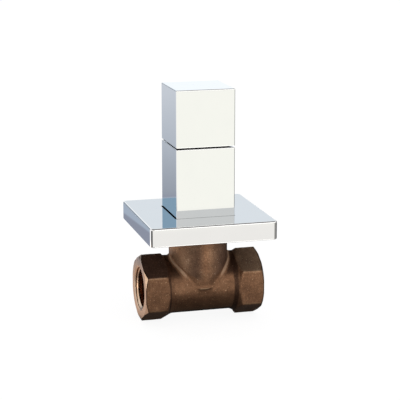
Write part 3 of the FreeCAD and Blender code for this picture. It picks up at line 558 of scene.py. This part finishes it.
# Cast body: hexagon bars, barrel and neck, melted together, then machined at its ends

castBody = {
    "hexAcross": 28.3, "castOver": 1.2, "barrelHalf": 14.5, "shoulderStart": 17.1,
    "shoulderSlope": 62, "blank": 0.62,       # the blank's radius, as a share of hexAcross
    "neckRadius": 13.9, "rim": -2.0,
    "noseRadius": 13.2, "noseRise": 1.0, "noseLength": 8.0, "lip": 0.40, "lipHeight": 0.7,
    "bead": 0.8, "beadShift": 0.25, "beadReach": 80, "beadStep": 8,      # the last two in degrees
    # the melt's grid, the rounds of smoothing, and the band along the seam that is smoothed more
    "voxel": 0.34, "edgeRounds": 5, "seamRounds": 3, "seamWidth": 1.3, "seamReach": 2.5,
    "seamFoot": 2.5,
    "lumps": 0.10, "lumpSize": 1.7, "grain": 0.035, "grainSize": 0.6,
}


def hexBar():
    deselectAll()
    bpy.ops.mesh.primitive_cylinder_add(
        vertices=6, radius=hexCorner(castBody["hexAcross"]) * mm,
        depth=2 * (turnedEnd["half"] + castBody["castOver"]) * mm,
        location=(0, 0, pipeHeight * mm), rotation=(0, math.pi / 2, 0))
    bar = bpy.context.object
    fixPlace(bar)
    editAll(bar)
    bpy.ops.transform.rotate(value=hexTurn, orient_axis="X",
                             center_override=(0, 0, pipeHeight * mm))
    endEdit()
    return bar


def ridgeBar():
    # the barrel's top runs up to a ridge, which meets the hexagons below their upper corners
    bar = rod("ridge", barrel["radius"], -barrel["ridgeHalf"], barrel["ridgeHalf"], "X",
              pipeCentre, sides=3)
    for vertex in bar.data.vertices:
        # the prism's three corners go to the ridge and to its two feet
        right, upper = vertex.co.y / mm > 1, vertex.co.z / mm - pipeHeight > 1
        out, rise = barrel["footHalf"], barrel["footRise"]
        if not right:
            out, rise = (0, barrel["ridgeRise"]) if upper else (-out, rise)
        vertex.co.y, vertex.co.z = out * mm, (pipeHeight + rise) * mm
    return bar


def barrelTop(y):
    # height over the pipe's axis of the barrel with its ridge
    circle = math.sqrt(max(barrel["radius"] ** 2 - y ** 2, 0))
    if abs(y) < barrel["footHalf"]:
        return max(barrel["ridgeRise"] - ridgeSlope * abs(y), circle)
    return circle


def seamBead():
    # a bead of metal along the line where the neck's wall meets the barrel's
    plan = castBody
    runs = []
    for side in (-1, 1):
        deselectAll()
        bpy.ops.curve.primitive_nurbs_path_add(radius=mm)
        bead = bpy.context.object
        spline = bead.data.splines[0]
        steps = range(-plan["beadReach"], plan["beadReach"] + 1, plan["beadStep"])
        angles = [math.radians(step) for step in steps]
        spline.points.add(len(angles) - len(spline.points))
        for point, angle in zip(spline.points, angles):
            y = barrel["radius"] * math.sin(angle)
            x = math.sqrt(plan["neckRadius"] ** 2 - y ** 2) + plan["beadShift"]
            z = pipeHeight + barrelTop(y)
            thick = 1 - abs(y) / plan["neckRadius"] * math.sin(abs(angle))
            point.co = (side * x * mm, y * mm, z * mm, 1)
            point.radius = math.sqrt(thick)
        spline.order_u = 4
        spline.use_endpoint_u = True
        bead.data.bevel_depth = plan["bead"] * mm
        bead.data.bevel_resolution = 4
        bead.data.use_fill_caps = True
        bpy.ops.object.convert(target="MESH")
        runs.append(bpy.context.object)
    return runs


def hexEnds():
    # the hexagon bar, turned down between its ends to the barrel and two sloping shoulders
    plan = castBody
    flat = plan["hexAcross"] / 2
    beyond = plan["hexAcross"] * plan["blank"]
    ends = turnedEnd["half"] + plan["castOver"] + past
    run = (beyond - flat) / math.tan(math.radians(plan["shoulderSlope"]))
    side = [(plan["barrelHalf"], barrel["radius"]), (plan["shoulderStart"], flat),
            (plan["shoulderStart"] + run, beyond), (ends, beyond), (ends, 0)]
    mirrored = [(-along, out) for along, out in reversed(side)]
    bar = hexBar()
    boolean(bar, turned("shell", mirrored + side, "X", pipeCentre), "INTERSECT")
    return bar


def neckBar():
    # from the nose below the pipe's axis up to the neck's rim, with a small lip at the nose's foot
    plan = castBody
    rise, lipRadius = plan["noseRise"], plan["noseRadius"] + plan["lip"]
    top = plan["rim"] - pipeHeight + past
    return turned("neck", [
        (0, 0), (0, plan["noseRadius"] - rise), (rise, lipRadius),
        (rise + plan["lipHeight"], lipRadius), (rise + 2 * plan["lipHeight"], plan["noseRadius"]),
        (rise + plan["noseLength"], plan["neckRadius"]), (top, plan["neckRadius"]), (top, 0),
    ], "Z", pipeCentre)


def seamWeights(piece):
    # how near each vertex is to the line where the neck's wall meets the barrel's, on a bell curve
    plan = castBody
    group = piece.vertex_groups.new(name="seam")
    for vertex in piece.data.vertices:
        x, y, z = vertex.co / mm
        fromNeck = math.hypot(x, y) - plan["neckRadius"]
        fromBarrel = min(math.hypot(y, z - pipeHeight) - barrel["radius"],
                         abs(z - pipeHeight - barrelTop(y)))
        away = math.hypot(fromNeck, fromBarrel) / plan["seamWidth"]
        if z > pipeHeight + plan["seamFoot"] and away < plan["seamReach"]:
            group.add([vertex.index], math.exp(-0.5 * away * away), "REPLACE")
    return group.name


def smoothed(piece, rounds, group=""):
    smoothing = piece.modifiers.new("smoothing", "SMOOTH")
    smoothing.factor = 0.5
    smoothing.iterations = rounds
    smoothing.vertex_group = group
    applyModifiers(piece)


def roughened(piece, name, size, height):
    grain = bpy.data.textures.new(name, "CLOUDS")
    grain.noise_scale = size * mm
    grain.noise_depth = 2
    change = piece.modifiers.new(name, "DISPLACE")
    change.texture = grain
    change.texture_coords = "LOCAL"
    change.strength = height * mm
    change.mid_level = 0.5
    applyModifiers(piece)


cast = joined("castBody", [hexEnds(), neckBar(), ridgeBar()] + seamBead())
remesh = cast.modifiers.new("melt", "REMESH")
remesh.mode = "VOXEL"
remesh.voxel_size = castBody["voxel"] * mm
applyModifiers(cast)
smoothed(cast, castBody["seamRounds"], seamWeights(cast))
smoothed(cast, castBody["edgeRounds"])
roughened(cast, "lumps", castBody["lumpSize"], castBody["lumps"])
roughened(cast, "grain", castBody["grainSize"], castBody["grain"])
cast.vertex_groups.clear()
paint(cast, looks["cast_brass"])
print("cast body: outside made,", len(cast.data.polygons), "faces")

boring = {
    "minorRadius": 9.32, "majorRadius": 10.4775, "pitch": 1.814, "threadDepth": 13.5,
    "threadStart": 1.4, "rootFlat": 0.30, "flankAngle": 27.5, "turns": 7.6, "turnSteps": 72,
    "threadLap": 0.12, "mouthRadius": 10.75, "passageRadius": 9.3, "passageLap": 0.2,
    "seat": -24.0, "seatWeb": 3.0, "seatHoleRadius": 5.5, "inletReach": 10.5,
    "chamberRadius": 10.0, "gasketRadius": 12.2, "gasketLevel": -3.3, "neckThreadDepth": 10.0,
    "blank": 0.70,                            # the end tool's radius, as a share of hexAcross
    "spare": 4, "rimReach": 20,               # how far the tools reach past the ends and the rim
}
boreEnd = turnedEnd["half"] - boring["threadDepth"]
webFoot = boring["seat"] - boring["seatWeb"]


def endCutter(side):
    # bore, countersink, end face and bevel of one end in a single turned tool
    plan, half = boring, turnedEnd["half"]
    beyond = castBody["hexAcross"] * plan["blank"]
    run = (beyond - turnedEnd["faceRadius"]) * bevelSlope
    outline = [
        (boreEnd, 0), (boreEnd, plan["minorRadius"]),
        (half - plan["mouthRadius"] + plan["minorRadius"], plan["minorRadius"]),
        (half, plan["mouthRadius"]), (half, turnedEnd["faceRadius"]),
        (half - run, beyond), (half + plan["spare"], beyond), (half + plan["spare"], 0),
    ]
    return turned("endCutter", [(side * along, out) for along, out in outline], "X", pipeCentre)


def threadCutter(side):
    # a helical tool with the thread's profile, deeper than the bore by the thread's height
    plan = boring
    inner, outer = plan["minorRadius"] - plan["threadLap"], plan["majorRadius"]
    flank = (outer - inner) * math.tan(math.radians(plan["flankAngle"]))
    root = plan["rootFlat"] / 2
    start = boreEnd + plan["threadStart"]
    profile = [(start - root, outer), (start + root, outer),
               (start - root - flank, inner), (start + root + flank, inner)]
    deselectAll()
    bpy.ops.mesh.primitive_plane_add(size=mm, location=(0, 0, pipeHeight * mm))
    tool = bpy.context.object
    for vertex, (along, out) in zip(tool.data.vertices, profile):
        vertex.co = (along * mm, 0, out * mm)
    winding = tool.modifiers.new("winding", "SCREW")
    winding.axis = "X"
    winding.angle = 2 * math.pi * plan["turns"]
    winding.screw_offset = plan["pitch"] * plan["turns"] * mm
    winding.steps = winding.render_steps = int(plan["turnSteps"] * plan["turns"])
    applyModifiers(tool)
    fixPlace(tool)
    editAll(tool)
    bpy.ops.mesh.remove_doubles(threshold=merging["wound"] * mm)
    bpy.ops.mesh.select_all(action="SELECT")
    bpy.ops.mesh.fill_holes(sides=6)
    bpy.ops.mesh.normals_make_consistent(inside=False)
    endEdit()
    if side < 0:
        tool.data.transform(Matrix.Rotation(math.pi, 4, "Z"))
    return tool


def passageCutter(fromX, toX, level, keepUpper):
    # the part above or below a level of a rod along the pipe
    tool = rod("passageCutter", boring["passageRadius"], fromX, toX, "X", pipeCentre)
    editAll(tool)
    bpy.ops.mesh.bisect(plane_co=(0, 0, level * mm), plane_no=(0, 0, 1), use_fill=True,
                        clear_inner=keepUpper, clear_outer=not keepUpper)
    endEdit()
    return tool


def neckCutter():
    # faces the rim, and bores the gasket's seat, the headwork's thread and the chamber
    plan, rim = boring, castBody["rim"]
    threadEnd = rim - plan["neckThreadDepth"]
    return turned("neckCutter", [
        (rim + plan["spare"], 0), (rim + plan["spare"], plan["rimReach"]),
        (rim, plan["rimReach"]), (rim, plan["gasketRadius"]),
        (plan["gasketLevel"], plan["gasketRadius"]), (plan["gasketLevel"], plan["majorRadius"]),
        (threadEnd, plan["majorRadius"]), (threadEnd, plan["chamberRadius"]),
        (plan["seat"], plan["chamberRadius"]), (plan["seat"], 0),
    ], "Z")


for cutter in [
        endCutter(-1), endCutter(1), threadCutter(-1), threadCutter(1), neckCutter(),
        passageCutter(-boreEnd - boring["passageLap"], boring["inletReach"], webFoot, False),
        passageCutter(boring["seatHoleRadius"], boreEnd + boring["passageLap"], boring["seat"],
                      True),
        rod("seatHoleCutter", boring["seatHoleRadius"], webFoot - lap, boring["seat"] + lap)]:
    paint(cutter, looks["machined_brass"])
    boolean(cast, cutter)
# the cuts leave slivers, whose corners are merged
editAll(cast)
bpy.ops.mesh.remove_doubles(threshold=merging["slivers"] * mm)
endEdit()
# the bevel's edge stays sharp, so the limit is just under the bevel's angle
bpy.ops.object.shade_smooth_by_angle(angle=math.radians(turnedEnd["bevel"] - 2))
cast.name = "castBody"
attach(cast, "valve_body")
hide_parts("body_casting")
print("cast body: machined,", len(cast.data.polygons), "faces,",
      sum(len(face.vertices) - 2 for face in cast.data.polygons), "triangles,",
      len(cast.data.materials), "materials")


# Chromed handle, sleeve and flange: square, with fine rounds, and hollow as the CAD's

squares = {
    "uprightRound": 0.45, "topRound": 0.45, "footRound": 0.3, "segments": 4,
    "handleWall": 2.6, "handleTop": 4, "hubRadius": 8.5, "hubRise": 2.5, "hubRound": 0.4,
    "hubSegments": 3, "ribWidth": 1.6, "ribHeight": 8, "ribLap": 0.4,
    "boreAcross": 12.1, "boreHeight": 15.8, "screwLevel": 8.5, "bossStart": 6,
    "bossRadius": 4.5, "screwHoleRadius": 2.58,
    "sleeveWall": 1.8, "webLow": 34.1, "webHigh": 37.1, "webHoleRadius": 9.1,
}
wallFlange = {
    "uprightRound": 2.1, "topRound": 0.8, "footRound": 0.35, "segments": 6, "skirt": 2.2,
    "rebate": 2.6, "ribWidth": 5, "plate": 2.5, "hole": 28.4, "leftSlack": 0.38,
    "slackShorter": 0.6, "collarWall": 2.6, "grooveSide": 31.2, "grooveLow": 3.2,
    "grooveHigh": 5.3,
}


def squareBlock(node, plan):
    # the node's own box with rounded upright edges, then rounded rims at its top and foot
    low, high = [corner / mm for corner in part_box(node)]
    piece = block(node + "Chrome", high.x - low.x, high.y - low.y, low.z, high.z)
    tolerance = 0.01
    roundEdges(piece, lambda a, b: abs(a.z - b.z) > tolerance, plan["uprightRound"],
               plan["segments"])
    for level, radius in ((high.z, plan["topRound"]), (low.z, plan["footRound"])):
        roundEdges(piece, lambda a, b: max(abs(a.z - level), abs(b.z - level)) < tolerance,
                   radius, plan["segments"])
    return piece, low.z, high.z, high.x


def finishChrome(piece, node, body):
    pick(piece)
    bpy.ops.object.shade_smooth_by_angle(angle=smoothLimit)
    even = piece.modifiers.new("evenFlats", "WEIGHTED_NORMAL")
    even.keep_sharp = True
    applyModifiers(piece)
    paint(piece, looks["chrome"])
    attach(piece, body)
    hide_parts(node)
    print(piece.name, "made,", len(piece.data.polygons), "faces")


def makeHandle():
    plan = squares
    piece, low, high, half = squareBlock("handle", plan)
    ceiling = high - plan["handleTop"]
    inside = 2 * (half - plan["handleWall"])
    boolean(piece, block("hollow", inside, inside, low - past, ceiling))
    hubFoot = low + plan["hubRise"]
    hub = rod("hub", plan["hubRadius"], hubFoot, ceiling + lap)
    roundEdges(hub, lambda a, b: max(a.z, b.z) < ceiling, plan["hubRound"], plan["hubSegments"])
    boolean(piece, hub, "UNION")
    long, thin = inside + plan["ribLap"], plan["ribWidth"]
    for across, along in ((long, thin), (thin, long)):
        rib = block("rib", across, along, ceiling - plan["ribHeight"], ceiling + lap)
        boolean(piece, rib, "UNION")
    screwCentre = (0, 0, low + plan["screwLevel"])
    boss = rod("boss", plan["bossRadius"], plan["bossStart"], half - plan["handleWall"] / 2, "Y",
               screwCentre)
    boolean(piece, boss, "UNION")
    bore = rod("bore", hexCorner(plan["boreAcross"]), hubFoot - past,
               hubFoot + plan["boreHeight"], sides=6)
    bore.data.transform(Matrix.Rotation(hexTurn, 4, "Z"))
    boolean(piece, bore)
    boolean(piece, rod("screwHole", plan["screwHoleRadius"], 0, half + past, "Y", screwCentre))
    finishChrome(piece, "handle", "handle_and_spindle")


def makeSleeve():
    plan = squares
    piece, low, high, half = squareBlock("sleeve", plan)
    inside = 2 * (half - plan["sleeveWall"])
    boolean(piece, block("lowerHollow", inside, inside, low - past, plan["webLow"]))
    boolean(piece, block("upperHollow", inside, inside, plan["webHigh"], high + past))
    boolean(piece, rod("webHole", plan["webHoleRadius"], low, high))
    finishChrome(piece, "sleeve", "valve_body")


def makeFlange():
    plan = wallFlange
    piece, low, high, half = squareBlock("flange", plan)
    hole, groove = plan["hole"], plan["grooveSide"]
    rebate = 2 * (half - plan["skirt"])
    hollow = rebate - 2 * plan["ribWidth"]
    collar = hole + 2 * plan["collarWall"]
    plate = high - plan["plate"]
    boolean(piece, block("rebate", rebate, rebate, low - past, plan["rebate"]))
    boolean(piece, block("hollow", hollow, hollow, low, plate))
    boolean(piece, block("collar", collar, collar, plan["rebate"], plate + lap), "UNION")
    boolean(piece, block("hole", hole, hole, low - past, high + past))
    # the hole is a little loose on the sleeve, which shows as a dark line at its left
    slack = block("slack", hole, hole - plan["slackShorter"], plate, high + past)
    slack.data.transform(Matrix.Translation((-plan["leftSlack"] * mm, 0, 0)))
    boolean(piece, slack)
    boolean(piece, block("groove", groove, groove, plan["grooveLow"], plan["grooveHigh"]))
    finishChrome(piece, "flange", "valve_body")


makeHandle()
makeSleeve()
makeFlange()


# Studio: pale floor, reflecting ground, light world, soft lamp and the camera

studio = {
    "floorSize": 8000, "floorDrop": 0.05, "floorShadow": 0.20, "floorGlow": 1.13,
    "floorBounce": 0.30, "worldForLight": 0.55, "worldShown": 1.05,
}
# brightness by degrees from the front, positive to the left, in the ground and in the sky
shades = {
    "rightRear": [(-158, 1.0), (-145, 0.30), (-108, 0.30), (-85, 1.0)],
    "farRight": [(-158, 1.0), (-145, 0.30), (-48, 0.30), (-34, 1.0)],
    "leftFlag": [(50, 1.0), (60, 0.06), (91, 0.06), (100, 1.0)],
    "leftPanel": [(94, 0.0), (102, 1.0), (145, 1.0), (153, 0.0)],
    "leftRear": [(138, 0.0), (146, 1.0), (172, 1.0), (179, 0.0)],
}
seenDirectly = ("Is Camera Ray", "Is Glossy Ray", "Is Transmission Ray")


def lightPathSwitch(tree, kinds):
    # 1 for the kinds of ray that are named, 0 for the others
    path = tree.nodes.new("ShaderNodeLightPath")
    total = path.outputs[kinds[0]]
    for kind in kinds[1:]:
        total = reckon(tree, "MAXIMUM", total, path.outputs[kind])
    return total


def mixShaders(tree, factor, first, second):
    node = tree.nodes.new("ShaderNodeMixShader")
    for entry, value in zip(node.inputs, (factor, first, second)):
        feed(tree, entry, value)
    return node.outputs[0]


def simpleShader(tree, kind, colour, strength=None):
    node = tree.nodes.new(kind)
    feed(tree, node.inputs["Color"], colour)
    if strength is not None:
        node.inputs["Strength"].default_value = strength
    return node.outputs[0]


def angleRound(tree, x, y):
    # 0 to 1 round the object: 0.5 in front, 0.75 to the left, 0 and 1 behind, 0.25 to the right
    turn = reckon(tree, "ARCTAN2", times(tree, x, -1), times(tree, y, -1))
    return share(tree, turn, -math.pi, math.pi)


def shadeRound(tree, around, name):
    return ramp(tree, around, [(0.5 + degrees / 360, value) for degrees, value in shades[name]])


def groundPlane(name, size, drop, material):
    # a flat square just under the casting
    deselectAll()
    bpy.ops.mesh.primitive_plane_add(size=size * mm, location=(0, 0, (floorHeight - drop) * mm))
    plane = bpy.context.object
    plane.name = name
    fixPlace(plane)
    paint(plane, material)
    return plane


def floorMaterial():
    # glows white where it is seen, with the object's shadow, and lights the object only a little
    material, tree = emptyMaterial("studioFloor")
    glow = simpleShader(tree, "ShaderNodeEmission", white, studio["floorGlow"])
    shadowed = simpleShader(tree, "ShaderNodeBsdfDiffuse", white)
    bounce = simpleShader(tree, "ShaderNodeBsdfDiffuse", [studio["floorBounce"]] * 3)
    seen = mixShaders(tree, studio["floorShadow"], glow, shadowed)
    showSurface(tree, mixShaders(tree, lightPathSwitch(tree, seenDirectly), bounce, seen))
    return material


floor = groundPlane("studioFloor", studio["floorSize"], studio["floorDrop"], floorMaterial())

cardPlan = {
    "size": 2800, "drop": 0.03,
    # colours from 0.6 metres in front of the object to 1.4 behind it
    "depth": (-0.6, 1.4), "bands": [
        (0.00, (0.96, 0.96, 0.89)), (0.178, (0.96, 0.96, 0.89)), (0.188, (0.87, 0.853, 0.82)),
        (0.30, (0.87, 0.853, 0.82)), (0.345, (0.27, 0.295, 0.37)), (0.424, (0.27, 0.295, 0.37)),
        (0.432, (0.31, 0.345, 0.405)), (0.52, (0.45, 0.495, 0.56)), (0.65, (0.57, 0.61, 0.67)),
        (0.82, (0.61, 0.65, 0.70)), (0.90, (0.16, 0.17, 0.20))],
    # a paler field behind the left, in metres, whose boundary shows in the flange's left face
    "slant": 0.1075,
    "paler": {"colour": (0.37, 0.435, 0.53), "aslant": (-0.0925, -0.0950),
              "depth": (0.195, 0.060, 0.054)},
    # distances from the middle of the ground, in millimetres
    "middle": (0, 25, 0), "far": (130, 160), "flagEnd": (330, 250), "panelFrom": (95, 120),
    "underneath": (0.08, 1.0, 45, 110),       # brightness near and far, and the two distances
    "spots": [
        # brighter ground near the front, which lights the casting but isn't in the chrome
        {"axes": (0.85, 0.95, 0), "middle": (23, -122, 0), "reach": (30, 62),
         "colour": (2.95, 2.95, 2.95), "blend": "MULTIPLY"},
        # a dim part in front of the left end
        {"axes": (1, 1, 0), "middle": (-74, -104, 0), "reach": (30, 56),
         "colour": (0.12, 0.12, 0.12), "blend": "MULTIPLY"},
        # pale ground off the left end, which its rim and its mouth mirror
        {"axes": (1, 0.27, 0), "middle": (-43, 46, 0), "reach": (13, 19),
         "colour": (0.62, 0.49, 0.42), "blend": "MIX"},
        # and paler ground beyond it, for the neck's left
        {"axes": (1, 0.8, 0), "middle": (-142, 40, 0), "reach": (26, 50),
         "colour": (3.4, 2.8, 2.3), "blend": "MIX"},
    ],
}


def cardMaterial():
    # what the chrome's upright faces mirror: warm white in front, blue grey behind, dark below
    plan = cardPlan
    material, tree = emptyMaterial("reflectorCard")
    place = coordinates(tree)
    x, y, z = separated(tree, place)
    colour = ramp(tree, share(tree, y, *plan["depth"]), plan["bands"])
    fields = {"aslant": minus(tree, x, times(tree, y, plan["slant"])), "depth": y}
    colour = mixed(tree, zone(tree, fields, plan["paler"]), colour, plan["paler"]["colour"])
    # a dark flag and a white panel at the left, and a dark side at the right rear
    around = angleRound(tree, x, y)
    away = {"outward": reach(tree, place, (1, 1, 0), plan["middle"])}
    far = zone(tree, away, {"outward": plan["far"]})
    flagged = times(tree, far, zone(tree, away, {"outward": plan["flagEnd"]}))
    for factor, name in ((1.0, "rightRear"), (far, "farRight"), (flagged, "leftFlag")):
        colour = mixed(tree, factor, colour, shadeRound(tree, around, name), "MULTIPLY")
    panel = times(tree, shadeRound(tree, around, "leftPanel"),
                  zone(tree, away, {"outward": plan["panelFrom"]}))
    colour = mixed(tree, panel, colour, white)
    colour = multiplied(tree, colour, spread(tree, away["outward"], *plan["underneath"]))
    for spot in plan["spots"]:
        near = spread(tree, reach(tree, place, spot["axes"], spot["middle"]), 1, 0,
                      *spot["reach"])
        colour = mixed(tree, near, colour, spot["colour"], spot["blend"])
    showSurface(tree, simpleShader(tree, "ShaderNodeEmission", colour, 1.0))
    return material


# the card is seen in reflections only, and casts no shadow
card = groundPlane("reflectorCard", cardPlan["size"], cardPlan["drop"], cardMaterial())
card.visible_camera = False
card.visible_diffuse = False
card.visible_shadow = False

skyPlan = {
    # colours from the horizon to straight above
    "bands": [
        (0.00, (0.95, 0.95, 0.95)), (0.10, (0.95, 0.95, 0.95)), (0.135, (0.90, 0.95, 1.0)),
        (0.155, (0.90, 0.95, 1.0)), (0.205, (0.68, 0.73, 0.775)), (0.26, (0.68, 0.73, 0.775)),
        (0.31, (0.95, 0.95, 0.95)), (0.50, (0.95, 0.95, 0.95)), (0.72, (0.45, 0.455, 0.46)),
        (0.82, (0.14, 0.14, 0.145))],
    # a blue part behind to the left and a warm one at the left
    "spots": [
        {"toward": (-0.265, 0.938, 0.225), "reach": (0.07, 0.11), "colour": (0.215, 0.33, 0.435)},
        {"toward": (-0.93, 0.345, 0.117), "reach": (0.10, 0.28), "colour": (1.02, 0.88, 0.75)},
    ],
    # dark low down at the left rear, dark at the right rear, and greyer over the front
    "horizon": {"colour": (0.13, 0.14, 0.17), "height": (0.18, 0.12)},
    "rightRear": {"height": (0.60, 0.35)},
    "front": {"colour": (0.858, 0.818, 0.765), "height": (0.02, 0.10), "depth": (0.0, -0.6)},
}


def makeWorld():
    plan = skyPlan
    world = scene.world or bpy.data.worlds.new("studio")
    scene.world = world
    world.use_nodes = True
    tree = world.node_tree
    tree.nodes.clear()
    direction = coordinates(tree, "Generated")
    x, y, z = separated(tree, direction)
    around = angleRound(tree, x, y)
    measures = {"height": z, "depth": y}
    sky = ramp(tree, z, plan["bands"])
    for spot in plan["spots"]:
        away = vectorStep(tree, "DISTANCE", direction, spot["toward"])
        sky = mixed(tree, spread(tree, away, 1, 0, *spot["reach"]), sky, spot["colour"])
    horizon = times(tree, zone(tree, measures, plan["horizon"]),
                    shadeRound(tree, around, "leftRear"))
    sky = mixed(tree, horizon, sky, plan["horizon"]["colour"])
    sky = mixed(tree, zone(tree, measures, plan["rightRear"]), sky,
                shadeRound(tree, around, "rightRear"), "MULTIPLY")
    sky = mixed(tree, zone(tree, measures, plan["front"]), sky, plan["front"]["colour"],
                "MULTIPLY")
    # past the floor's edge the camera sees plain white
    sky = mixed(tree, lightPathSwitch(tree, ["Is Camera Ray"]), sky, white)
    light = simpleShader(tree, "ShaderNodeBackground", white, studio["worldForLight"])
    shown = simpleShader(tree, "ShaderNodeBackground", sky, studio["worldShown"])
    showSurface(tree, mixShaders(tree, lightPathSwitch(tree, seenDirectly), light, shown),
                "ShaderNodeOutputWorld")


makeWorld()

keyLamp = {"place": (235, -760, 455), "aim": (0, 0, -20), "width": 900, "height": 300,
           "power": 1.15}


def makeKeyLamp():
    place = Vector(keyLamp["place"])
    deselectAll()
    bpy.ops.object.light_add(type="AREA", location=place * mm)
    lamp = bpy.context.object
    lamp.name = "keyLamp"
    lamp.data.shape = "RECTANGLE"
    lamp.data.size = keyLamp["width"] * mm
    lamp.data.size_y = keyLamp["height"] * mm
    lamp.data.energy = keyLamp["power"]
    lamp.rotation_euler = (Vector(keyLamp["aim"]) - place).to_track_quat("-Z", "Y").to_euler()


makeKeyLamp()

cameraPlan = {
    "lens": 124.65, "sensor": 36, "aim": (1.05, 0, 13.75), "distance": 655, "clipStart": 10,
    "azimuth": -15.38, "elevation": 13.04,      # in degrees, from the front and up
}


def makeCamera():
    plan = cameraPlan
    azimuth, elevation = math.radians(plan["azimuth"]), math.radians(plan["elevation"])
    back = Vector((math.sin(azimuth) * math.cos(elevation),
                   -math.cos(azimuth) * math.cos(elevation), math.sin(elevation)))
    deselectAll()
    bpy.ops.object.camera_add(location=Vector(plan["aim"]) * mm + back * plan["distance"] * mm)
    camera = bpy.context.object
    camera.rotation_euler = (-back).to_track_quat("-Z", "Y").to_euler()
    camera.data.sensor_width = plan["sensor"]
    camera.data.lens = plan["lens"]
    camera.data.clip_start = plan["clipStart"] * mm
    scene.camera = camera


makeCamera()
scene.view_settings.view_transform = "Standard"
print("studio: floor, card, world, lamp and camera in place")
